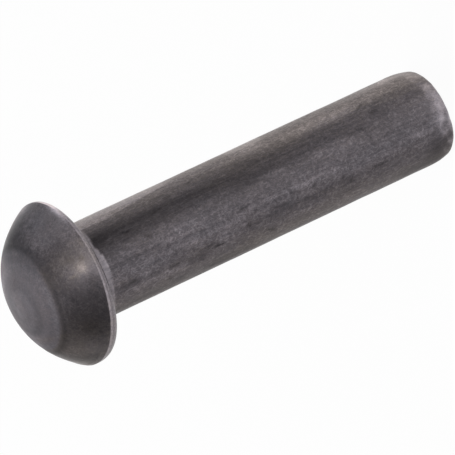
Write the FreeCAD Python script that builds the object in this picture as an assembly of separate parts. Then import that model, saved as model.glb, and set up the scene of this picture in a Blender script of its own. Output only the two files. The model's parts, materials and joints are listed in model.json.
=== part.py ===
"""Round-head solid rivet, cold headed from one length of steel wire.

The rivet stands on the flat end of its shank with its head up. The origin is the centre of the
bearing face, the flat ring under the head that pulls down on the plate, so the head lies above
the origin and the shank runs down the Z axis below it. All sizes are in millimetres.
"""
import FreeCAD, Part
import math
import os

# Shank: the wire that passes through the plates
SHANK_DIA = 8.0
SHANK_LENGTH = 35.0  # from the bearing face to the flat end

# Shank end: the last stretch is drawn in a little, and its edge is rounded
END_DRAW_LENGTH = 2.3  # from where the shank starts to draw in to the flat end
END_DRAW_RADIUS = 7.3  # of the long curve that draws it in
END_EDGE_RADIUS = 0.6

# Head: a crown pressed by the pin in the middle of the punch, and a steeper flank round it
HEAD_DIA = 13.75
HEAD_HEIGHT = 5.3
CROWN_DIA = 9.2
CROWN_RADIUS = 7.6
FLANK_BULGE = 0.15  # how far the flank stands off a straight cone

# Witness ring: the shallow groove that the joint between pin and punch leaves round the crown
RING_WIDTH = 0.5
RING_DEPTH = 0.05

# Rim: a short straight land under the flank, then the rounded edge of the bearing face
RIM_LAND = 0.2
RIM_EDGE_RADIUS = 0.8

# Root: where the shank runs into the bearing face
ROOT_RADIUS = 0.3


def point(radius, height):
    """A point of the half section, which is drawn in the XZ plane."""
    return FreeCAD.Vector(radius, 0, height)


def line(start, end):
    return Part.LineSegment(start, end).toShape()


def bulged_arc(start, end, bulge):
    """An arc that stands off its chord by bulge, away from the axis on the way down.

    A negative bulge hollows it instead.
    """
    chord = end - start
    outward = point(-chord.z, chord.x) / chord.Length
    return Part.Arc(start, (start + end) / 2 + outward * bulge, end).toShape()


def corner_arc(centre, radius, from_angle, to_angle):
    """An arc about a centre, with its angles in degrees up from the outward direction."""
    stops = [math.radians(a) for a in (from_angle, (from_angle + to_angle) / 2, to_angle)]
    on_arc = [centre + point(math.cos(a), math.sin(a)) * radius for a in stops]
    return Part.Arc(*on_arc).toShape()


def crown_height(radius):
    """Height of the crown's sphere above the bearing face, at a distance from the axis."""
    return HEAD_HEIGHT - CROWN_RADIUS + math.sqrt(CROWN_RADIUS**2 - radius**2)


def head_outline():
    """Crown, witness ring, flank, land and rounded edge, from the top down."""
    ring_in = CROWN_DIA / 2 - RING_WIDTH / 2
    ring_out = CROWN_DIA / 2 + RING_WIDTH / 2
    rim = HEAD_DIA / 2
    top = point(0, HEAD_HEIGHT)
    crown_middle = point(ring_in / 2, crown_height(ring_in / 2))
    crown_edge = point(ring_in, crown_height(ring_in))
    flank_top = point(ring_out, crown_height(ring_out))
    flank_foot = point(rim, RIM_EDGE_RADIUS + RIM_LAND)
    land_foot = point(rim, RIM_EDGE_RADIUS)
    edge_centre = point(rim - RIM_EDGE_RADIUS, RIM_EDGE_RADIUS)
    return [
        Part.Arc(top, crown_middle, crown_edge).toShape(),
        bulged_arc(crown_edge, flank_top, -RING_DEPTH),
        bulged_arc(flank_top, flank_foot, FLANK_BULGE),
        line(flank_foot, land_foot),
        corner_arc(edge_centre, RIM_EDGE_RADIUS, 0, -90),
    ]


def shank_outline():
    """Bearing face, root, straight shank, drawn-in end, rounded edge and flat end."""
    shank = SHANK_DIA / 2
    bearing_edge = point(HEAD_DIA / 2 - RIM_EDGE_RADIUS, 0)
    root_centre = point(shank + ROOT_RADIUS, -ROOT_RADIUS)
    draw_centre = point(shank - END_DRAW_RADIUS, END_DRAW_LENGTH - SHANK_LENGTH)
    # the edge's circle touches the drawn-in curve from inside, and the flat end
    edge_drop = END_DRAW_LENGTH - END_EDGE_RADIUS
    edge_reach = math.sqrt((END_DRAW_RADIUS - END_EDGE_RADIUS) ** 2 - edge_drop**2)
    edge_centre = draw_centre + point(edge_reach, -edge_drop)
    edge_angle = -math.degrees(math.atan2(edge_drop, edge_reach))
    return [
        line(bearing_edge, point(shank + ROOT_RADIUS, 0)),
        corner_arc(root_centre, ROOT_RADIUS, 90, 180),
        line(point(shank, -ROOT_RADIUS), point(shank, draw_centre.z)),
        corner_arc(draw_centre, END_DRAW_RADIUS, 0, edge_angle),
        corner_arc(edge_centre, END_EDGE_RADIUS, edge_angle, -90),
        line(point(edge_centre.x, -SHANK_LENGTH), point(0, -SHANK_LENGTH)),
    ]


def rivet():
    """The half section, turned once round the axis."""
    axis_edge = line(point(0, -SHANK_LENGTH), point(0, HEAD_HEIGHT))
    outline = Part.Wire(head_outline() + shank_outline() + [axis_edge])
    half_section = Part.Face(outline)
    return half_section.revolve(FreeCAD.Vector(0, 0, 0), FreeCAD.Vector(0, 0, 1), 360)


os.makedirs("parts", exist_ok=True)
solid = rivet()
solid.exportStep("parts/rivet.step")
print("rivet:", solid.ShapeType, "valid", solid.isValid(), "volume", round(solid.Volume, 1), "mm3")
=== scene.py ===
# %% [markdown]
# # A cold-headed steel rivet
# This lesson dresses one real part, a round-head solid rivet of 8 x 35 mm. The engineering model
# fixes its place and its sizes, and Blender adds what the eye wants: the worn, dark, satin skin
# of wire that was drawn through a die, cut off, and struck once into a head.
# Nothing is moved or scaled here, so whatever is added later lands on the right spot.

# %% Load the packed rivet
import json
import math

import bpy
import numpy as np
from mathutils import Matrix, Vector


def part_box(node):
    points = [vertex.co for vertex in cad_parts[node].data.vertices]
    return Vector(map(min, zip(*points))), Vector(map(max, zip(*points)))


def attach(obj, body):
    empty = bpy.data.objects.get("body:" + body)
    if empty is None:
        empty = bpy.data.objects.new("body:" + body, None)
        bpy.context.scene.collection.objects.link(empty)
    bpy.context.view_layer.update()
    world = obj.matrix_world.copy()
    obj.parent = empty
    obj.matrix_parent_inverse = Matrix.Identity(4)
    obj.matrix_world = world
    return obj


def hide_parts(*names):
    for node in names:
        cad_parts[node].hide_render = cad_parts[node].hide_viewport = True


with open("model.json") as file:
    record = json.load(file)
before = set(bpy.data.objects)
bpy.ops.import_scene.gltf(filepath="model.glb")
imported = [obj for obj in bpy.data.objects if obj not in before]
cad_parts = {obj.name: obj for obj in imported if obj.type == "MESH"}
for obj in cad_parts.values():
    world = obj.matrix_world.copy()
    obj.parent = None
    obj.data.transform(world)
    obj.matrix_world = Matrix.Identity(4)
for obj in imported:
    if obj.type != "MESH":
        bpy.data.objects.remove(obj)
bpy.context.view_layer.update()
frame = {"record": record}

rivet_low, rivet_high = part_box("rivet")
print("rivet stands from", round(rivet_low[2], 4), "to", round(rivet_high[2], 4), "m")

# %% [markdown]
# ## The sizes
# The shank's radius and length come from the packed record, where the part says what it fits.
# The forms of the head are a maker's sizes: a ball-shaped crown, a shallow witness ring where
# the punch's edge stopped, a steeper flank, and a rim that turns round to the flat seat.
# Blender works in metres, so one millimetre gets a name, and sizes read as on a drawing.

# %% Sizes of the rivet
MM = 0.001
mounts = {mount["name"]: mount for mount in frame["record"]["mounts"]}
SHANK_RADIUS = mounts["shank"]["dims"]["r_mm"] * MM
TAIL_HEIGHT = mounts["tail_end"]["pos_m"][2]
HEAD_RADIUS = 6.875 * MM
HEAD_HEIGHT = 5.3 * MM
CROWN_RADIUS = 7.6 * MM
RING_INSIDE = 4.35 * MM
RING_OUTSIDE = 4.85 * MM
RING_DEPTH = 0.012 * MM
FLANK_BULGE = 0.15 * MM
RIM_LAND = 0.2 * MM
RIM_EDGE_RADIUS = 0.8 * MM
ROOT_RADIUS = 0.3 * MM
END_DRAW_LENGTH = 2.3 * MM
END_DRAW_RADIUS = 7.3 * MM
END_EDGE_RADIUS = 0.6 * MM
print("shank", SHANK_RADIUS / MM, "mm in radius, head", HEAD_RADIUS / MM, "mm in radius")

# %% [markdown]
# ## The blank's outline
# A turned or headed part has one outline that goes all the way round, so half of its section is
# drawn first, point by point, and spun afterwards. A plane is added, its corners are merged to
# one point, and that point is the pencil: it is extruded for the straight runs and spun about a
# centre for the round ones. Drawing the arcs with Spin keeps every radius true.

# %% A pencil for the outline
def take_up_pencil(height):
    """Merge a new plane to one point on the axis and leave it selected."""
    bpy.ops.object.select_all(action="DESELECT")
    bpy.ops.mesh.primitive_plane_add(size=MM, location=(0, 0, 0))
    bpy.ops.object.mode_set(mode="EDIT")
    bpy.ops.mesh.merge(type="CENTER")
    bpy.ops.transform.translate(value=(0, 0, height))
    return bpy.context.object


def pencil_place(piece):
    """Radius and height of the selected point."""
    piece.update_from_editmode()
    spot = [corner.co for corner in piece.data.vertices if corner.select][0]
    return spot.x, spot.z


def draw_straight(piece, radius, height, steps):
    """Extrude the point in equal steps to a new radius and height."""
    start_radius, start_height = pencil_place(piece)
    stride = ((radius - start_radius) / steps, 0, (height - start_height) / steps)
    for step in range(steps):
        bpy.ops.mesh.extrude_region_move(TRANSFORM_OT_translate={"value": stride})


def draw_round(piece, centre, turn, steps):
    """Spin the point about a centre in the section; a positive turn is anticlockwise."""
    bpy.ops.mesh.spin(steps=steps, angle=turn, center=(centre[0], 0, centre[1]), axis=(0, 1, 0))


print("pencil tools:", take_up_pencil.__name__, draw_straight.__name__, draw_round.__name__)

# %% [markdown]
# ## From the tail to the seat
# The outline starts in the middle of the flat tail end. The cropped end of the wire was drawn in
# a little and its edge is rounded, so two arcs lead up to the straight shank. A small radius
# fills the root, and the flat seat under the head runs out to the rim. The first step away from
# the axis is short, so that the long triangles round the middle of the end stay small.

# %% Draw the shank
FIRST_STEP = 0.15 * MM
rivet_skin = take_up_pencil(TAIL_HEIGHT)
rivet_skin.name = "dressed_rivet"
draw_top = TAIL_HEIGHT + END_DRAW_LENGTH
draw_centre = (SHANK_RADIUS - END_DRAW_RADIUS, draw_top)
edge_drop = END_DRAW_LENGTH - END_EDGE_RADIUS
edge_reach = math.sqrt((END_DRAW_RADIUS - END_EDGE_RADIUS) ** 2 - edge_drop ** 2)
edge_centre = (draw_centre[0] + edge_reach, draw_top - edge_drop)
draw_turn = math.atan2(edge_drop, edge_reach)

draw_straight(rivet_skin, FIRST_STEP, TAIL_HEIGHT, steps=1)
draw_straight(rivet_skin, edge_centre[0], TAIL_HEIGHT, steps=18)
draw_round(rivet_skin, edge_centre, math.pi / 2 - draw_turn, steps=9)
draw_round(rivet_skin, draw_centre, draw_turn, steps=12)
print("the shank starts at", [round(value / MM, 3) for value in pencil_place(rivet_skin)], "mm")
draw_straight(rivet_skin, SHANK_RADIUS, -ROOT_RADIUS, steps=216)
draw_round(rivet_skin, (SHANK_RADIUS + ROOT_RADIUS, -ROOT_RADIUS), -math.pi / 2, steps=4)
draw_straight(rivet_skin, HEAD_RADIUS - RIM_EDGE_RADIUS, 0, steps=10)
print("the seat ends at", [round(value / MM, 3) for value in pencil_place(rivet_skin)], "mm")

# %% [markdown]
# ## The rim, the flank and the crown
# The rim turns round to a short upright land, and there the steel meets the flank in a crisp
# crease. Short steps on both sides of the crease hold it when the shading is smoothed. The flank
# is almost straight: its arc is found from its two ends and how far it bulges between them.
# The ring is a shallow trough, and the crown is one arc that ends on the axis.

# %% Draw the rim
CREASE_STEP = 0.04 * MM
land_top = RIM_EDGE_RADIUS + RIM_LAND
draw_round(rivet_skin, (HEAD_RADIUS - RIM_EDGE_RADIUS, RIM_EDGE_RADIUS), math.pi / 2, steps=12)
draw_straight(rivet_skin, HEAD_RADIUS, land_top - CREASE_STEP, steps=2)
draw_straight(rivet_skin, HEAD_RADIUS, land_top, steps=1)
print("the rim ends at", [round(value / MM, 3) for value in pencil_place(rivet_skin)], "mm")

# %% Draw the flank
CREASE_SHARE = 1 / 90


def crown_height(radius):
    """Height of the ball-shaped crown at a distance from the axis."""
    return HEAD_HEIGHT - CROWN_RADIUS + math.sqrt(CROWN_RADIUS ** 2 - radius ** 2)


flank_low = Vector((HEAD_RADIUS, land_top))
flank_high = Vector((RING_OUTSIDE, crown_height(RING_OUTSIDE)))
chord = flank_high - flank_low
flank_radius = chord.length ** 2 / (8 * FLANK_BULGE) + FLANK_BULGE / 2
inward = Vector((-chord.y, chord.x)).normalized()
flank_centre = (flank_low + flank_high) / 2 + inward * (flank_radius - FLANK_BULGE)
flank_turn = 2 * math.asin(chord.length / 2 / flank_radius)
draw_round(rivet_skin, flank_centre, flank_turn * CREASE_SHARE, steps=1)
draw_round(rivet_skin, flank_centre, flank_turn * (1 - CREASE_SHARE), steps=32)
print("the flank ends at", [round(value / MM, 3) for value in pencil_place(rivet_skin)], "mm")

# %% Draw the ring and the crown
RING_STEPS = 5
for step in range(1, RING_STEPS + 1):
    share = step / RING_STEPS
    radius = RING_OUTSIDE + (RING_INSIDE - RING_OUTSIDE) * share
    trough = RING_DEPTH * math.sin(math.pi * share)
    draw_straight(rivet_skin, radius, crown_height(radius) - trough, steps=1)
crown_turn = math.asin(RING_INSIDE / CROWN_RADIUS)
draw_round(rivet_skin, (0, HEAD_HEIGHT - CROWN_RADIUS), crown_turn, steps=36)
print("the crown ends at", [round(value / MM, 3) for value in pencil_place(rivet_skin)], "mm")

# %% [markdown]
# ## Spin the outline
# One Spin about the upright axis makes the whole skin. Its last copy lies on its first, and all
# copies of the two end points lie on the axis, so merging what coincides closes the seam and both
# poles. Spin can leave a skin inside out, so its normals are then made to point outwards.
# A Screw modifier would turn the outline as well; Spin leaves plain faces to work on at once.

# %% Spin and close the skin
ROUND_STEPS = 192
MERGE_DISTANCE = 1e-7
bpy.ops.mesh.select_all(action="SELECT")
bpy.ops.mesh.spin(steps=ROUND_STEPS, angle=math.tau, center=(0, 0, 0), axis=(0, 0, 1))
bpy.ops.mesh.select_all(action="SELECT")
bpy.ops.mesh.remove_doubles(threshold=MERGE_DISTANCE)
bpy.ops.mesh.normals_make_consistent(inside=False)
bpy.ops.object.mode_set(mode="OBJECT")
bpy.ops.object.shade_smooth()
skin_mesh = rivet_skin.data
triangles = sum(len(face.vertices) - 2 for face in skin_mesh.polygons)
print("skin:", len(skin_mesh.vertices), "points,", triangles, "triangles")

# %% [markdown]
# ## Struck a little off centre
# On a real rivet the punch never meets the blank quite on its axis. The ball-shaped part of the
# head then sits a fifth of a millimetre to one side, and the crease between flank and rim runs
# higher on one side than on the other. Moving the struck part as a whole would tear it from the
# rim, so the flank slides along its own slope, more and more towards the crease, and keeps its
# form. Forms this small are easier to place by numbers, so the points are read into an array.

# %% Read the skin's points
points = np.empty(len(skin_mesh.vertices) * 3)
skin_mesh.vertices.foreach_get("co", points)
points = points.reshape(-1, 3) / MM
normals = np.empty(len(skin_mesh.vertices) * 3)
skin_mesh.vertices.foreach_get("normal", normals)
normals = normals.reshape(-1, 3)
radius = np.hypot(points[:, 0], points[:, 1])
around = np.arctan2(points[:, 1], points[:, 0])
height = points[:, 2].copy()


def blend_over(values, low, high):
    """Go smoothly from 0 at low to 1 at high."""
    share = np.clip((values - low) / (high - low), 0, 1)
    return share * share * (3 - 2 * share)


print("points read:", len(points))

# %% Move the struck form off the axis
STRIKE_OFFSET = np.array([-0.12, 0.15])
FLANK_SLOPE = 2.2
RIM_INSIDE = 6.0
SAME_HEIGHT = 1e-4
crease = land_top / MM
ring_height = flank_high.y / MM
outward = np.column_stack([np.cos(around), np.sin(around)])
push = outward @ STRIKE_OFFSET
struck = height >= crease - SAME_HEIGHT
up_flank = np.clip((height - crease) / (ring_height - crease), 0, 1)
slide = np.where(struck, (1 - up_flank) ** 2, 0)
points[:, :2] += np.where(struck, 1 - slide, 0)[:, None] * STRIKE_OFFSET
points[:, 2] += slide * push * FLANK_SLOPE
rim = (height > 0) & (height < crease - SAME_HEIGHT) & (radius > RIM_INSIDE)
points[rim, 2] *= 1 + push[rim] * FLANK_SLOPE / crease
crease_heights = points[np.abs(height - crease) < SAME_HEIGHT, 2]
print("crease runs from", round(crease_heights.min(), 2), "to", round(crease_heights.max(), 2), "mm")

# %% [markdown]
# ## The skin's small unevenness
# Drawn and headed steel is never a perfect surface. The shank carries long draw lines, the whole
# skin is slightly wavy, the crown keeps faint rings from the turned punch, and the cropped tail
# is rubbed. These are a few thousandths of a millimetre deep, yet they are what breaks up the
# reflections, so they are put into the mesh along its normals instead of being painted. The
# number in front of each pattern is its depth in millimetres.

# %% Waves and draw lines
DRAW_LINE_COUNT = 26


def waves(length, count, seed):
    """Even random waves of about one length in millimetres, with a spread of 1."""
    draw = np.random.default_rng(seed)
    ways = draw.normal(size=(count, 3))
    ways /= np.linalg.norm(ways, axis=1)[:, None]
    turns = math.tau / (length * draw.uniform(0.7, 1.5, count))
    starts = draw.uniform(0, math.tau, count)
    total = np.zeros(len(points))
    for way, turn, start in zip(ways, turns, starts):
        total += np.cos(points @ way * turn + start)
    return total * math.sqrt(2 / count)


def draw_lines(seed):
    """Lines along the shank, fine ones and broad ones, that fade in and out on their way."""
    draw = np.random.default_rng(seed)
    total = np.zeros(len(points))
    for line in range(DRAW_LINE_COUNT):
        repeats = int(draw.integers(7, 80))
        fade = np.cos(height * draw.uniform(0.05, 0.45) + draw.uniform(0, math.tau))
        ridges = np.cos(around * repeats + draw.uniform(0, math.tau)) / math.sqrt(repeats)
        total += (0.6 + 0.4 * fade) * ridges
    return total


print("draw lines:", DRAW_LINE_COUNT)

# %% Make the skin uneven
PUNCH_RING_SPACING = 0.42
on_shank = blend_over(height, -0.4, -1.2)
on_tail = blend_over(height, -33.6, -34.7)
on_crown = blend_over(height, 3.9, 4.1)
lift = 0.0025 * waves(length=2.5, count=40, seed=1)
lift += 0.003 * waves(length=6.0, count=24, seed=2)
lift += 0.0015 * waves(length=0.8, count=60, seed=3)
lift += 0.0025 * draw_lines(seed=4) * on_shank * (1 - on_tail)
punch_rings = np.cos(radius * math.tau / PUNCH_RING_SPACING + waves(length=5.0, count=12, seed=5))
lift += 0.0006 * punch_rings * on_crown
rubbed_tail = 0.006 * waves(length=1.3, count=40, seed=6) - 0.01
rubbed_tail += 0.003 * waves(length=0.5, count=60, seed=7)
lift += on_tail * rubbed_tail
print("lift of the skin:", round(lift.min(), 3), "to", round(lift.max(), 3), "mm")

# %% [markdown]
# ## Tone and warmth
# The dark skin of the steel is worn unevenly. Painting an image would need unwrapping; here each
# point gets two numbers instead, which the finish reads later as attributes. Tone says how dark
# (below nought) or bright (above it) the steel is, from stains and wear and also from painted
# highlights and painted shade, and warmth how cool or how brown.
# A side of the rivet is named by its angle round the axis: 0 is the right and -90 the front.

# %% Tone and warmth of each point
side = np.degrees(around)
tone = np.zeros(len(points))
warmth = np.zeros(len(points))


def line_at(values, middle, width):
    """1 where the values reach the middle, fading away on both sides within a width."""
    return np.exp(-((values - middle) / width) ** 2)


def near_side(angle, reach):
    """1 on the side that faces this angle, fading away within a reach of so many degrees."""
    off = (side - angle + 180) % 360 - 180
    return line_at(off, 0, reach)


def print_tones(place):
    """Tell how dark and how bright the steel has become so far."""
    print(place, "done: tone from", round(tone.min(), 2), "to", round(tone.max(), 2))


print("a tone and a warmth for each of", len(points), "points")

# %% [markdown]
# ## The shank's sides
# Rivets lie against each other in their box. Where the shank was rubbed, long flats have turned
# bright. On the front right a dark band of painted shade runs along the shank, and the right side
# beside it is lightened by a painted highlight. Oil and oxide tint some sides brown. Each stain is a
# product: the number in front says how strong it is, and the shares behind it say on which side it
# lies and at what height. Noise alone would be quicker, but it would put the flats anywhere, and on a
# real shank they follow its length.

# %% Rub the shank's sides and paint their shade and highlight
on_whole_shank = blend_over(height, 0, -0.3)
fading_downwards = np.clip(1 + height / 32, 0, 1)
# painted shade: a dark band on the front right, fading towards the end
tone -= 0.85 * near_side(-62, 18) * fading_downwards * on_whole_shank
# painted highlight on the right side, reaching further round to the front towards the end
highlight_edge = -47 + 15 * blend_over(height, -24, -8)
right_side_highlight = blend_over(side, highlight_edge - 7, highlight_edge + 9) * blend_over(side, 45, 0)
tone += 0.35 * right_side_highlight * on_whole_shank
flat_from = -38 + 16 * blend_over(height, -2.5, -12.0)
upper_flat = blend_over(side, flat_from - 1.5, flat_from + 2.5) * blend_over(side, 8, -8)
tone += 0.50 * upper_flat * blend_over(height, -11.0, -9.5) * on_whole_shank
lower_flat = blend_over(side, -24, -21) * blend_over(side, 8, -8)
tone += 0.45 * lower_flat * blend_over(height, -19.9, -19.6) * blend_over(height, -16.0, -16.4)
print_tones("the shank's flats")

# %% Tint the shank's sides
less_warm_upwards = 1.0 - 0.4 * blend_over(height, -18, -10)
warmth += less_warm_upwards * near_side(-35, 22) * on_whole_shank
warmth += (0.8 * near_side(-160, 24) - 0.25 * near_side(-104, 16)) * on_whole_shank
warmth += (0.5 * near_side(60, 50) + 0.7 * near_side(-10, 12)) * on_whole_shank
print("warmth from", round(warmth.min(), 2), "to", round(warmth.max(), 2))

# %% [markdown]
# ## The burnished collar
# The die that held the shank while the head was struck has left a collar under it, about 1.5 mm
# long and a few hundredths of a millimetre high. It is burnished bright, above all on the front.
# It could be drawn in the outline, but then it would end level all the way round, so its points
# are lifted out of the skin instead.

# %% Raise and burnish the collar
COLLAR_HEIGHT = 0.04
COLLAR_END = -1.46
COLLAR_SLOPE = 0.06
collar_end = COLLAR_END - 0.14 * near_side(-88, 14) + 0.16 * near_side(-66, 12)
collar = blend_over(height, collar_end - COLLAR_SLOPE, collar_end + COLLAR_SLOPE) * on_whole_shank
tone += (0.6 + 0.45 * near_side(-90, 16) + 0.8 * near_side(-64, 15)) * collar
tone += 0.12 * waves(length=0.5, count=40, seed=12) * collar
tone += 0.12 * line_at(height, collar_end, 0.10) * near_side(-93, 18) * on_whole_shank
warmth -= 0.1 * collar
lift += COLLAR_HEIGHT * collar
print_tones("the collar")

# %% [markdown]
# ## The cropped end
# The wire was cropped and its end drawn in, so the end isn't quite round: it bulges by a tenth of
# a millimetre on one side. Its edge is made brighter, most of all at the front. The shank is a
# little full at the right and the head a little flat at the left, behind, as on any piece that was
# struck and not turned on a lathe. A spun outline is round all the way, so forms like these have to
# be added to the points.

# %% Bulge and brighten the end
END_BULGE = 0.10
FLAT_MIDDLE = 2.5
end_brightening = 1.1 * near_side(-88, 42) + 0.3 * near_side(100, 70)
end_brightening += 0.35 * waves(length=0.9, count=40, seed=9)
tone += 0.8 * np.clip(end_brightening, 0, 1.3) * blend_over(height, -33.2, -34.0) * (radius > FLAT_MIDDLE)
lift += END_BULGE * near_side(-148, 38) * blend_over(height, -32.5, -34.3)
lift += 0.025 * near_side(-5, 45) * on_shank
lift -= 0.035 * near_side(130, 60) * (height > 1.5)
print_tones("the end")

# %% [markdown]
# ## The head's tones
# The witness ring is nearly flat in the mesh, so the shade of its groove is painted as a dark line,
# with a band of painted light just inside it at the front. The crown inside it is cooler and has
# faint rounds from the turned punch, whose middle lies a little off the axis. The flank is warm at
# the left and cool at the right, and carries painted light at the front right and painted shade at
# the front left. A brush could paint all this, but shares of the distance from the axis follow the
# round forms exactly.

# %% Paint the ring's shade
from_ring = radius - (RING_INSIDE + RING_OUTSIDE) / 2 / MM
on_head = blend_over(height, crease - 0.1, crease + 0.1)
on_flank = on_head * (1 - on_crown)
ring_painted_shade = 0.45 - 0.10 * near_side(-58, 26)
# painted shade of the ring's groove, and painted light just inside it at the front
tone -= ring_painted_shade * line_at(from_ring, 0, 0.22) * blend_over(height, 3.0, 3.3)
tone += 0.18 * line_at(from_ring, -0.55, 0.35) * near_side(-110, 50) * on_head
print_tones("the ring")

# %% Tint the crown and the flank
PUNCH_MIDDLE = (-0.4, -0.3)
SWIRL_SPACING = 1.1
TINT_SPACING = 2.3
from_middle = np.hypot(points[:, 0] - PUNCH_MIDDLE[0], points[:, 1] - PUNCH_MIDDLE[1])
tone += (0.36 * blend_over(from_middle, 2.2, 2.9) - 0.30) * on_crown
tone += 0.06 * np.cos(from_middle * math.tau / SWIRL_SPACING + around) * on_crown
# painted light on the flank's front right, painted shade on its front left
tone += (0.12 * near_side(-48, 20) - 0.10 * near_side(-132, 18)) * on_flank
warmth -= (0.55 + 0.1 * np.cos(from_middle * math.tau / TINT_SPACING + 2)) * on_crown
warmth += (0.8 * near_side(-170, 35) + 0.4 * near_side(-72, 14)) * on_flank
warmth -= 0.9 * near_side(-25, 35) * on_flank
print_tones("the head")

# %% [markdown]
# ## The worn rim
# The rim is what a loose rivet knocks with, so the steel is bare there: brighter in a stripe along
# the land, and worn on the crease at the front right, where a painted highlight makes it nearly
# white. Two thin dark lines run round it: one below the stripe, and one next to the seat that is
# painted shade under the rim. A finish can find edges by itself, from their pointiness, but it would
# bare the whole rim; here the side and the height say where it is worn.

# %% Tint the rim
up_rim = np.where(rim, height / crease, np.where(struck, 1.0, 0.0))
stripe = 0.25 + 0.45 * near_side(-100, 30)
tone += (stripe * blend_over(up_rim, 0.68, 0.78) + 0.25 * blend_over(up_rim, 0.05, 0.3)) * rim
# a dark line below the stripe, and painted shade under the rim next to the seat
tone -= 0.25 * (line_at(up_rim, 0.70, 0.06) + line_at(up_rim, 0.10, 0.08)) * rim
warmth += (0.6 * near_side(-150, 40) - 0.1 + 0.6 * near_side(-82, 8)) * rim
print_tones("the rim")

# %% Wear the crease and paint its highlight
flank_edge_wear_and_highlight = 0.7 * line_at(up_flank, 0, 0.06) * near_side(-38, 10) * struck
crease_wear_and_highlight = near_side(-26, 15) * rim + flank_edge_wear_and_highlight
# the crease is worn bare, and a painted highlight makes it nearly white
tone += (3.2 + 0.3 * waves(length=0.8, count=40, seed=13)) * crease_wear_and_highlight
worn_bulge = near_side(14, 8) * struck * blend_over(height, 3.0, 2.0)
tone += 0.8 * worn_bulge
warmth += 0.8 * worn_bulge + 0.2 * crease_wear_and_highlight
warmth += 0.3 * near_side(-26, 14) * rim
print_tones("the crease")

# %% [markdown]
# ## Marks on the head
# Oil spots and light scratches lie on the head without any depth, and a few rows paint the flank's
# highlight and some shade instead. Each row is one spot, seen from above: its place to the right and
# to the back, its length and its half width, all in millimetres, its slant in degrees, and how much
# brighter and warmer it makes the steel.
# Texture Paint would do the same by hand, but it leaves an image to keep; rows can be read and
# mended, and one function lays them all.

# %% Stains on the head
head_stains_and_highlight = (
    # the first seven rows paint the flank's highlight at the front, and painted shade round it
    (0.5, -6.25, 0.9, 0.26, 8, 0.62, 1.0),
    (1.4, -5.9, 1.0, 0.30, 30, -0.20, 0.4),
    (0.4, -6.35, 0.7, 0.16, 8, 0.40, 0.4),
    (-0.6, -6.0, 1.0, 0.35, 60, -0.15, 0.0),
    (0.1, -5.8, 0.5, 0.12, 60, 0.30, 1.0),
    (-0.7, -6.55, 1.4, 0.35, 0, -0.45, 0.0),
    (1.1, -6.4, 0.4, 0.10, 20, -0.30, 1.0),
    (-1.4, -4.75, 1.6, 0.30, -15, 0.35, 0.0),
    (-6.4, -1.6, 4.0, 0.55, 78, -0.50, 0.0),
    (-5.0, -1.0, 1.8, 0.45, 75, 0.25, 0.3),
    (-3.5, 1.6, 1.4, 0.45, 80, 0.45, 0.3),
    (1.6, 2.0, 2.6, 0.45, -5, 0.30, 0.3),
    # painted shade that dims a lamp's reflection on the flank's right
    (4.9, 0.6, 2.8, 1.00, 88, -0.35, 0.3),
    (0.3, -0.4, 1.6, 0.60, 20, 0.12, 0.3),
    (3.0, -6.0, 2.4, 0.45, 30, 0.60, 0.0),
    (4.7, -4.3, 2.0, 0.60, 45, -0.35, 0.3),
    (2.9, -4.5, 3.2, 0.70, 40, 0.15, 0.0),
    (5.4, -2.1, 2.2, 0.80, 68, 0.50, 0.0),
    (1.2, -5.1, 2.2, 0.50, 8, 0.25, 0.2),
    (3.5, -3.7, 3.4, 0.35, 47, 0.30, 0.2),
    (-5.9, -3.3, 2.0, 0.40, -58, -0.25, 0.0),
    (-1.6, -6.2, 1.2, 0.35, -12, -0.25, 0.0),
    (-4.2, -4.4, 1.8, 0.55, -45, -0.30, 0.3),
    (-2.4, -5.2, 1.6, 0.50, -25, 0.15, 0.0),
    (-4.6, -2.8, 2.0, 0.60, -60, -0.12, 0.3),
    (-5.5, -0.2, 2.4, 0.70, 80, 0.20, 0.4),
    (-6.3, 1.4, 1.6, 0.55, 75, 0.85, 0.4),
    (-5.3, -4.4, 2.6, 0.18, -48, 0.20, 0.3),
    (-6.3, -2.5, 2.2, 0.18, -68, 0.20, 0.3),
    (6.7, 0.4, 1.8, 0.30, 85, 1.00, 0.3),
    (-0.8, 1.3, 3.0, 0.60, 0, -0.14, 0.4),
    (1.3, -0.7, 2.0, 0.50, -20, -0.12, 0.2),
    (-3.5, -0.8, 3.5, 0.40, 80, 0.06, 0.9),
    (3.1, 1.0, 1.2, 0.50, 0, 0.20, 0.9),
)
print("stains on the head:", len(head_stains_and_highlight))

# %% Stain the head
def lean_over(along, across, slant):
    """Distances along and across a mark that leans by a slant in degrees."""
    lean = math.radians(slant)
    run = along * math.cos(lean) + across * math.sin(lean)
    off = across * math.cos(lean) - along * math.sin(lean)
    return run, off


def stain_or_highlight_head(rightwards, backwards, length, width, slant, shade, warm):
    """Darken or brighten one spot of the head, placed as seen from above."""
    run, off = lean_over(points[:, 0] - rightwards, points[:, 1] - backwards, slant)
    mark = line_at(run, 0, 0.5 * length) * line_at(off, 0, width) * on_head
    tone[:] += shade * mark
    warmth[:] += warm * mark


for mark in head_stains_and_highlight:
    stain_or_highlight_head(*mark)
print_tones("the head's stains")

# %% [markdown]
# ## Marks on the shank
# Loose rivets knock and scratch each other. Each row is one mark: the side it lies on in degrees
# and its height, its length and half width in millimetres, its slant in degrees, and how much
# brighter it makes the steel. They are placed by angle and height because the shank is round, so
# a mark bends with it. First come the stains, which have no depth.

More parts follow.
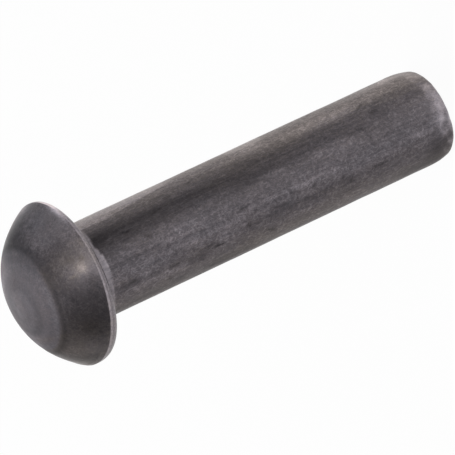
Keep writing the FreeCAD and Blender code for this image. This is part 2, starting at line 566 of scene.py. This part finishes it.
# %% Stains on the shank
shank_stains = (
    (-135, -6.3, 6.0, 0.35, 1, 0.35),
    (-124, -3.4, 1.8, 0.40, 0, -0.35),
    (-108, -8.0, 10.0, 0.35, 0, 0.15),
    (-98, -3.5, 6.0, 0.25, 0, -0.25),
    (-92, -8.8, 5.0, 0.50, 0, 0.20),
    (-126, -12.3, 3.0, 0.70, 0, 0.20),
    (-122, -19.5, 11.0, 0.30, 1, -0.25),
    (-107, -17.3, 4.0, 0.25, 0, -0.25),
    (-75, -17.0, 6.0, 0.50, 2, -0.22),
    (-137, -21.0, 4.0, 0.40, 0, 0.15),
    (-82, -24.0, 5.0, 0.40, 0, 0.20),
    (-98, -33.2, 3.5, 1.60, 0, 0.25),
    (-115, -32.0, 2.0, 0.20, 0, -0.30),
    (-136, -33.5, 3.0, 1.20, 0, -0.35),
    (-158, -32.0, 6.0, 0.80, 0, -0.30),
    (-158, -12.5, 5.0, 0.50, 0, -0.35),
    (-158, -5.0, 7.0, 0.50, 0, -0.25),
    (-161, -17.0, 34.0, 0.80, 0, -0.08),
    (-28, -18.0, 3.0, 0.60, 0, 0.30),
    (-40, -24.5, 5.0, 0.60, 0, 0.25),
    (-110, -31.6, 1.60, 0.22, 8, 0.4),
    (-12, -31.9, 1.00, 0.25, 0, 0.7),
    (-22, -32.5, 3.50, 0.50, 0, 0.30),
    (-122, -4.2, 1.20, 0.45, 0, 0.35),
    (-134, -9.4, 1.80, 0.35, 0, -0.30),
    (-128, -7.2, 1.00, 0.30, 0, -0.30),
    (-125, -10.8, 1.40, 0.25, 0, -0.30),
    (-77, -18.0, 3.00, 0.25, 3, 0.30),
    (-106, -15.2, 1.20, 0.30, 0, -0.25),
    (-98, -32.2, 1.50, 0.40, 0, -0.30),
    (-123, -34.2, 0.80, 0.35, 0, -0.50),
    (-104, -18.5, 9.0, 0.25, 0, 0.35),
    (-18, -31.5, 5.0, 0.60, 0, 0.35),
    (-74, -26.2, 2.2, 0.20, 0, -0.35),
    (-45, -30.5, 4.0, 0.40, 2, -0.20),
    (-101, -6.9, 1.00, 0.20, 20, -0.30),
    (-64, -7.0, 8.00, 0.35, 0, 0.20),
    (-34, -33.8, 0.90, 0.50, 0, 0.5),
)
print("stains on the shank:", len(shank_stains))

# %% [markdown]
# ## Scratches on the shank
# A scratch collects oxide and turns dark, and a rubbed ridge turns bright. Sculpt Mode could press
# them with a brush, but no two strokes would be the same. The rows are as before, with the depth
# in millimetres as the last number, and one function presses them and lays the stains.

# %% Scratches on the shank
shank_scratches = (
    (-122, -14.5, 0.60, 0.10, 55, -0.7, 0.020),
    (-129, -11.5, 1.10, 0.10, 4, -0.7, 0.015),
    (-125, -13.1, 0.40, 0.12, 40, -0.5, 0.015),
    (-142, -16.4, 1.20, 0.12, 28, -0.5, 0.010),
    (-107, -18.9, 0.60, 0.12, 25, -0.4, 0.010),
    (-111, -21.0, 0.35, 0.18, 0, -0.4, 0.015),
    (-116, -17.6, 1.40, 0.14, 2, -0.4, 0.008),
    (-88, -27.3, 0.50, 0.09, 60, -0.4, 0.010),
    (-125, -24.5, 0.35, 0.14, 0, -0.5, 0.012),
    (-123, -27.3, 1.40, 0.09, 2, -0.6, 0.010),
    (-62, -28.7, 0.90, 0.20, 5, -0.3, 0.005),
    (-144, -6.6, 0.60, 0.20, 10, -0.3, 0.008),
    (-89, -8.1, 0.60, 0.05, 70, 0.6, 0.004),
    (-92, -8.5, 0.60, 0.05, -50, 0.5, 0.004),
)


def press_mark(angle, level, length, width, slant, shade, depth=0.0):
    """Darken or brighten one mark of the shank, and press it in."""
    turned = (around - math.radians(angle) + math.pi) % math.tau - math.pi
    run, off = lean_over(height - level, turned * SHANK_RADIUS / MM, slant)
    mark = np.exp(-np.abs(run / (0.5 * length)) ** 4 - (off / width) ** 2) * on_shank
    tone[:] += shade * mark
    lift[:] -= depth * mark


for mark in shank_stains + shank_scratches:
    press_mark(*mark)
print_tones(f"{len(shank_scratches)} scratches and all stains on the shank")

# %% [markdown]
# ## Many small marks by chance
# The rest of the shank has fine marks everywhere, too many to write down one by one, so chance
# places them: mostly dark ones, short and thin, that run more or less along the shank. A fixed
# seed gives the same marks every time.

# %% Scatter small marks
SMALL_MARK_COUNT = 130
chance = np.random.default_rng(8)
for count in range(SMALL_MARK_COUNT):
    angle = chance.uniform(-180, 180)
    level = -chance.uniform(1, 34)
    length = chance.uniform(0.2, 1.4)
    width = chance.uniform(0.05, 0.14)
    slant = chance.normal(0, 22)
    depth = chance.uniform(0, 0.008)
    shade = chance.choice((-1, -1, 1)) * chance.uniform(0.1, 0.55)
    press_mark(angle, level, length, width, slant, shade, depth)
print_tones(f"{SMALL_MARK_COUNT} small marks")

# %% [markdown]
# ## Back into the mesh
# Each point now moves along its normal by its lift. A bump in the finish would only pretend these
# forms, so they go into the mesh itself, where the outline shows them too. The rivet stands on
# its flat end, so no point may go below it. Tone and warmth become attributes of the points.

# %% Put the small forms into the mesh
points += normals * lift[:, None]
points[:, 2] = np.maximum(points[:, 2], TAIL_HEIGHT / MM)
skin_mesh.vertices.foreach_set("co", (points * MM).ravel())
# the tone carries the painted highlights and shade as well as the stains and wear
for name, values in (("marks", tone), ("warmth", warmth)):
    layer = skin_mesh.attributes.new(name, "FLOAT", "POINT")
    layer.data.foreach_set("value", values)
skin_mesh.update()
print("the skin moved by", round(lift.min(), 3), "to", round(lift.max(), 3), "mm")

# %% [markdown]
# ## Writing a finish as arithmetic
# A finish is a sum of many faint patterns. Drawn as nodes, such a sum is a web that nobody can
# read, so a small class wraps one socket and gives it Python's signs: each sign adds one Math
# node. Every other node comes from one method that takes its type, its settings and its sockets.

# %% A socket that can be added and multiplied
class Shade:
    """One output of a node, with the signs of arithmetic."""

    def __init__(self, tree, socket):
        self.tree = tree
        self.socket = socket

    def node(self, kind, settings, sockets, output=0):
        """Add a node: first its settings, then the values or links of its sockets."""
        made = self.tree.nodes.new(kind)
        for name, value in settings.items():
            setattr(made, name, value)
        for name, value in sockets.items():
            if isinstance(value, Shade):
                self.tree.links.new(value.socket, made.inputs[name])
            else:
                made.inputs[name].default_value = value
        return Shade(self.tree, made.outputs[output])

    def math(self, operation, first, second=0.0):
        """Add a Math node."""
        return self.node("ShaderNodeMath", {"operation": operation}, {0: first, 1: second})

    def __add__(self, other):
        return self.math("ADD", self, other)

    __radd__ = __add__

    def __mul__(self, other):
        return self.math("MULTIPLY", self, other)

    def __sub__(self, other):
        return self.math("SUBTRACT", self, other)

    def __rsub__(self, other):
        return self.math("SUBTRACT", other, self)

    def __truediv__(self, other):
        return self.math("DIVIDE", self, other)

    def even(self, low, high, **settings):
        """Go evenly from 0 at low to 1 at high, and no further."""
        sockets = {"Value": self, "From Min": low, "From Max": high}
        return self.node("ShaderNodeMapRange", settings, sockets)

    def smooth(self, low, high):
        """Go smoothly from 0 at low to 1 at high."""
        return self.even(low, high, interpolation_type="SMOOTHSTEP")

    def scaled(self, x, y, z):
        """Stretch a vector differently along each axis."""
        return self.node("ShaderNodeVectorMath", {"operation": "MULTIPLY"}, {0: self, 1: (x, y, z)})

    def noise(self, detail, roughness, distortion=0.0):
        """Cloudy noise over this vector, centred on nought."""
        sockets = {"Vector": self, "Scale": 1.0, "Detail": detail, "Roughness": roughness}
        sockets["Distortion"] = distortion
        return self.node("ShaderNodeTexNoise", {}, sockets) - 0.5

    def fibres(self, width):
        """Thin curling lines, where a cloudy noise over this vector passes through its middle."""
        clouds = self.noise(1.0, 0.5, distortion=0.8)
        return self.math("ABSOLUTE", clouds).smooth(width, 0.0)

    def mix(self, first, second):
        """Blend two colours by this share."""
        settings = {"data_type": "RGBA"}
        return self.node("ShaderNodeMix", settings, {0: self, 6: first, 7: second}, output=2)

    def times(self, factor):
        """Make a colour darker or brighter and keep its hue."""
        return self.node("ShaderNodeVectorMath", {"operation": "SCALE"}, {0: self, "Scale": factor})


print("a Shade can do:", [name for name in vars(Shade) if not name.startswith("_")])

# %% [markdown]
# ## The dark satin skin
# Plain steel wire that has been annealed and drawn is grey-violet, with olive and brown tints
# where oil and oxide are thicker. Both finishes below come from one recipe: three greys blended
# by warmth, made darker or brighter by tone, and a bump for the grain, which is too fine for the
# mesh. The patterns are laid out on the piece's own coordinates, in millimetres, so they need no
# unwrapping and stay put when the rivet moves.

# %% Start a finish
def start_finish(name):
    """A new metal with its shader, and the piece's own coordinates in millimetres."""
    material = bpy.data.materials.new(name)
    material.use_nodes = True
    tree = material.node_tree
    shader = tree.nodes["Principled BSDF"]
    shader.inputs["Metallic"].default_value = 1.0
    coordinates = tree.nodes.new("ShaderNodeTexCoord")
    place = Shade(tree, coordinates.outputs["Object"]).scaled(1 / MM, 1 / MM, 1 / MM)
    return material, shader, place


def read_points(place, name):
    """The number that each point of the skin has under this name."""
    return place.node("ShaderNodeAttribute", {"attribute_name": name}, {}, output="Fac")


own_numbers = [layer.name for layer in skin_mesh.attributes if layer.data_type == "FLOAT"]
print("numbers that each point has:", own_numbers)

# %% Colour and bump
COOL_GREY = (0.155, 0.147, 0.164, 1)
VIOLET_GREY = (0.166, 0.149, 0.160, 1)
WARM_OXIDE = (0.172, 0.150, 0.144, 1)
DARKEST = 0.28
BRIGHTEST = 4.5


def tint(shader, tone, warmth):
    """Turn tone and warmth into the shader's colour."""
    colour = warmth.even(-1.0, 0.0).mix(COOL_GREY, VIOLET_GREY)
    colour = warmth.even(0.0, 1.0).mix(colour, WARM_OXIDE)
    darkened = tone.even(-1.0, 0.0) * (1 - DARKEST) + DARKEST
    brightened = tone.even(0.0, BRIGHTEST - 1) * (BRIGHTEST - 1) + 1.0
    colour = colour.times(darkened * brightened)
    tone.tree.links.new(colour.socket, shader.inputs["Base Color"])


def roughen(shader, roughness, bumps, strength, depth):
    """Feed the roughness, and the bump that feeds the normal."""
    roughness.tree.links.new(roughness.socket, shader.inputs["Roughness"])
    sockets = {"Height": bumps, "Strength": strength, "Distance": depth}
    normal = bumps.node("ShaderNodeBump", {}, sockets)
    bumps.tree.links.new(normal.socket, shader.inputs["Normal"])


print("brightest tone is", round(BRIGHTEST / DARKEST, 1), "times the darkest")

# %% [markdown]
# ## The drawn shank
# The grain of drawn wire runs along it, so it reflects lamps as long soft bands: that is an
# anisotropic finish. A Wave texture could draw the streaks, but too evenly, so noise is stretched
# along the shank instead. On a few sides, bands of painted highlight and painted shade run over the
# whole length, with bands like them on the back: each is a row with its side in degrees, how narrow
# it is (up to 1), and how much brighter it makes the steel. The collar and the end are calmer than
# the rest.

# %% Bands along the shank
SHANK_LIGHT_BANDS = (
    # a painted highlight on the right, a painted light band at the front left, painted shade at the
    # front
    (-14, 0.960, 0.36),
    (-112, 0.965, 0.22),
    (-84, 0.980, -0.10),
    # bands like these on the back
    (160, 0.930, -0.20),
    (75, 0.900, -0.22),
    (40, 0.950, 0.15),
)


def side_facing(place, angle):
    """1 where the shank faces this angle, falling to -1 on the far side."""
    facing = math.radians(angle)
    across = {0: place, 1: (math.cos(facing), math.sin(facing), 0)}
    dot = place.node("ShaderNodeVectorMath", {"operation": "DOT_PRODUCT"}, across, output="Value")
    flat = place.scaled(1, 1, 0)
    reach = flat.node("ShaderNodeVectorMath", {"operation": "LENGTH"}, {0: flat}, output="Value")
    return dot / (reach + 0.01)


def painted_light_bands(place):
    """Bands of painted highlight and painted shade over the whole length of the shank."""
    bands = 0.0
    for angle, narrow, shade in SHANK_LIGHT_BANDS:
        bands = bands + side_facing(place, angle).smooth(narrow, 1.0) * shade
    return bands


print("bands along the shank:", len(SHANK_LIGHT_BANDS))

# %% The shank's finish
shank_finish, shader, place = start_finish("drawn_shank")
shader.inputs["Anisotropic"].default_value = 0.85
shader.inputs["Anisotropic Rotation"].default_value = 0.25
height_up = place.node("ShaderNodeSeparateXYZ", {}, {"Vector": place}, output="Z")
marks = read_points(place, "marks")
streaks = place.scaled(2.2, 2.2, 0.10).noise(3.0, 0.6)
fine_streaks = place.scaled(5.0, 5.0, 0.45).noise(2.0, 0.6)
clouds = place.scaled(0.45, 0.45, 0.22).noise(3.0, 0.55)
grain = place.scaled(3.4, 3.4, 3.4).noise(4.0, 0.65)
dust = place.scaled(8.0, 8.0, 5.0).noise(2.0, 0.5)
web = place.scaled(2.0, 2.0, 1.6).fibres(0.07) + place.scaled(4.0, 4.0, 2.0).fibres(0.08)

broad = marks + painted_light_bands(place) + streaks * 0.5 + fine_streaks * 0.7 + clouds * 0.4
calm = 1.0 - height_up.even(-1.6, -1.4) * 0.6 - height_up.even(-32.0, -33.0) * 0.25
contrast = (broad.even(-0.6, 0.4) + 0.35) * calm
fine = grain * 1.1 + dust * 0.6 + web * 0.40 - 0.07
warm = read_points(place, "warmth") + clouds * 1.2 + fine_streaks + dust * 1.5
tint(shader, broad + fine * contrast, warm)
rough = clouds * 0.10 + grain * 0.10 - marks * 0.1 + 0.55
roughen(shader, rough, grain + fine_streaks * 0.8 + dust * 0.4, strength=0.5, depth=0.04 * MM)
print("nodes in the shank's finish:", len(shank_finish.node_tree.nodes))

# %% [markdown]
# ## The struck head
# The head was pressed by a smooth punch, so it is even in all directions and a little smoother
# than the shank. One finish for the whole rivet would carry the shank's grain across the head, so
# the head has its own: the same kinds of noise, but none is stretched. The crown met the punch's
# turned middle, and is a little rougher than the flank and more even in tone.

# %% The head's finish
head_finish, shader, place = start_finish("struck_head")
height_up = place.node("ShaderNodeSeparateXYZ", {}, {"Vector": place}, output="Z")
marks = read_points(place, "marks")
clouds = place.scaled(0.4, 0.4, 0.4).noise(3.0, 0.55)
grain = place.scaled(3.0, 3.0, 3.0).noise(4.0, 0.6)
dust = place.scaled(7.0, 7.0, 7.0).noise(2.0, 0.5)
web = place.scaled(2.6, 2.6, 2.6).fibres(0.07)

broad = marks + clouds * 0.3
contrast = broad.even(0.0, 0.5) * 0.9 + 0.95 - height_up.even(3.6, 3.8) * 0.35
fine = grain * 0.8 + dust * 0.7 + web * 0.24 - 0.05
warm = read_points(place, "warmth") + clouds * 1.5 + grain * 1.5
tint(shader, broad + fine * contrast, warm)
rough = height_up.smooth(3.4, 4.3) * 0.20 + clouds * 0.10 + grain * 0.08 + 0.44
roughen(shader, rough, grain + dust * 0.4, strength=0.35, depth=0.03 * MM)
print("nodes in the head's finish:", len(head_finish.node_tree.nodes))

# %% [markdown]
# ## Give each part of the skin its finish
# Two objects could have a finish each, but the rivet is one piece of steel. So one mesh has two
# materials, and each face takes that of the part it lies on; the change is hidden in the root,
# under the head. The skin then replaces the engineering model and moves with its body.

# %% Give each part its finish and its place
skin_mesh.materials.append(head_finish)
skin_mesh.materials.append(shank_finish)
for face in skin_mesh.polygons:
    face.material_index = 1 if face.center.z < -0.5 * ROOT_RADIUS else 0
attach(rivet_skin, "root")
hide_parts("rivet")
print("faces of the shank:", sum(face.material_index for face in skin_mesh.polygons))

# %% [markdown]
# ## The floor
# The rivet stands on a plain pale sheet. Its own paint is nearly white, and to the camera and in
# reflections most of it is shown as clean white, while the rest keeps the rivet's soft shadow. A
# shadow catcher would leave nothing behind the shadow; a Mix Shader that asks what kind of ray
# has arrived gives the shadow and the white at once.

# %% Lay the floor
FLOOR_RADIUS = 20.0
bpy.ops.object.select_all(action="DESELECT")
bpy.ops.mesh.primitive_circle_add(
    vertices=96, radius=FLOOR_RADIUS, fill_type="NGON", location=(0, 0, TAIL_HEIGHT)
)
floor = bpy.context.object
floor.name = "floor"
print("floor at", round(floor.location.z / MM, 3), "mm")

# %% Paint the floor
PALE = (0.9, 0.9, 0.9, 1)
WHITE = (1, 1, 1, 1)
CLEAN_SHARE = 0.96
floor_paint = bpy.data.materials.new("pale_floor")
floor_paint.use_nodes = True
tree = floor_paint.node_tree
paint = tree.nodes["Principled BSDF"]
paint.inputs["Base Color"].default_value = PALE
paint.inputs["Roughness"].default_value = 1.0
paint.inputs["Specular IOR Level"].default_value = 0.0
rays = tree.nodes.new("ShaderNodeLightPath")
seen = Shade(tree, rays.outputs["Is Camera Ray"]) + Shade(tree, rays.outputs["Is Glossy Ray"])
seen = seen + Shade(tree, rays.outputs["Is Transmission Ray"])
clean = seen.node("ShaderNodeEmission", {}, {"Color": WHITE, "Strength": 1.0})
own_paint = Shade(tree, paint.outputs[0])
shown = seen.node("ShaderNodeMixShader", {}, {0: seen * CLEAN_SHARE, 1: own_paint, 2: clean})
tree.links.new(shown.socket, tree.nodes["Material Output"].inputs["Surface"])
floor.data.materials.append(floor_paint)
print("share of clean white on the floor:", CLEAN_SHARE)

# %% [markdown]
# ## The camera
# A long lens from half a metre flattens the perspective, as for a catalogue picture of a small
# part; a short one from close by would make the head look too large beside the end. The camera
# looks down by 25 degrees and is rolled over, so the upright rivet lies across the picture with
# its head at the lower left. Turning the rivet instead would move it off its place.

# %% Place the camera
ELEVATION = math.radians(25)
ROLL = math.radians(-115.2)
DISTANCE = 480 * MM
FOCAL_LENGTH = 473
aim = Vector((-1.53 * MM, 0, -14.22 * MM))
lens = bpy.data.cameras.new("studio_camera")
camera = bpy.data.objects.new("studio_camera", lens)
bpy.context.scene.collection.objects.link(camera)
lens.sensor_width = 36
lens.lens = FOCAL_LENGTH
lens.clip_start = 0.01
lens.clip_end = 100
tilt = Matrix.Rotation(math.pi / 2 - ELEVATION, 4, "X")
sight = tilt.to_3x3() @ Vector((0, 0, -1))
camera.matrix_world = Matrix.Translation(aim - sight * DISTANCE) @ tilt @ Matrix.Rotation(ROLL, 4, "Z")
bpy.context.scene.camera = camera
print("camera at", [round(value, 3) for value in camera.matrix_world.translation])

# %% [markdown]
# ## The lamps
# Five soft round lamps hang at one distance from the rivet, and the camera looks from the front.
# The strongest hangs high behind and gives the main light. The front one draws the highlight on
# the head's flank, the low one at the back shines in the crown, and the right one brightens the
# shank's upper edge. The one at the left, behind, is weak, so that this side stays dark and the
# form reads as round. Each share is a part of full power, and an even world fills what they leave.
# An image of a studio round the scene would also light it, but lamps can be moved one by one.

# %% Hang the lamps
LAMP_DISTANCE = 0.6
LAMP_SIZE = 0.4
FULL_POWER = 3.55
lamp_middle = Vector((0, 0, -14 * MM))


def hang_lamp(name, direction, rise, share):
    """Hang a soft lamp at an angle round the rivet and above the floor, facing the rivet."""
    light = bpy.data.lights.new(name, "AREA")
    light.shape = "DISK"
    light.size = LAMP_SIZE
    light.energy = FULL_POWER * share
    lamp = bpy.data.objects.new(name, light)
    bpy.context.scene.collection.objects.link(lamp)
    turn = Matrix.Rotation(math.radians(direction), 3, "Z")
    lamp_way = turn @ Matrix.Rotation(math.radians(-rise), 3, "Y") @ Vector((1, 0, 0))
    lamp.location = lamp_middle + lamp_way * LAMP_DISTANCE
    lamp.rotation_euler = (-lamp_way).to_track_quat("-Z", "Y").to_euler()


hang_lamp("high_behind", 90, 60, 0.46)
hang_lamp("front", 280, 35, 0.26)
hang_lamp("right", 0, 20, 0.13)
hang_lamp("back", 85, 20, 0.24)
hang_lamp("left_behind", 150, 20, 0.06)
print("lamps hung:", len(bpy.data.lights))

# %% [markdown]
# ## The even world
# White walls throw a little light back from all sides. A plain white world of low strength does
# the same, and it keeps the darkest places from turning black. The standard view shows colours
# about as they are written.

# %% Fill the shadows
WORLD_STRENGTH = 0.12
world = bpy.data.worlds.new("studio")
world.use_nodes = True
sky = world.node_tree.nodes["Background"]
sky.inputs["Color"].default_value = WHITE
sky.inputs["Strength"].default_value = WORLD_STRENGTH
bpy.context.scene.world = world
bpy.context.scene.view_settings.view_transform = "Standard"
print("world strength:", WORLD_STRENGTH)

# %% [markdown]
# ## The dressed rivet
# The dressed rivet now takes the engineering model's place, and the model is hidden.
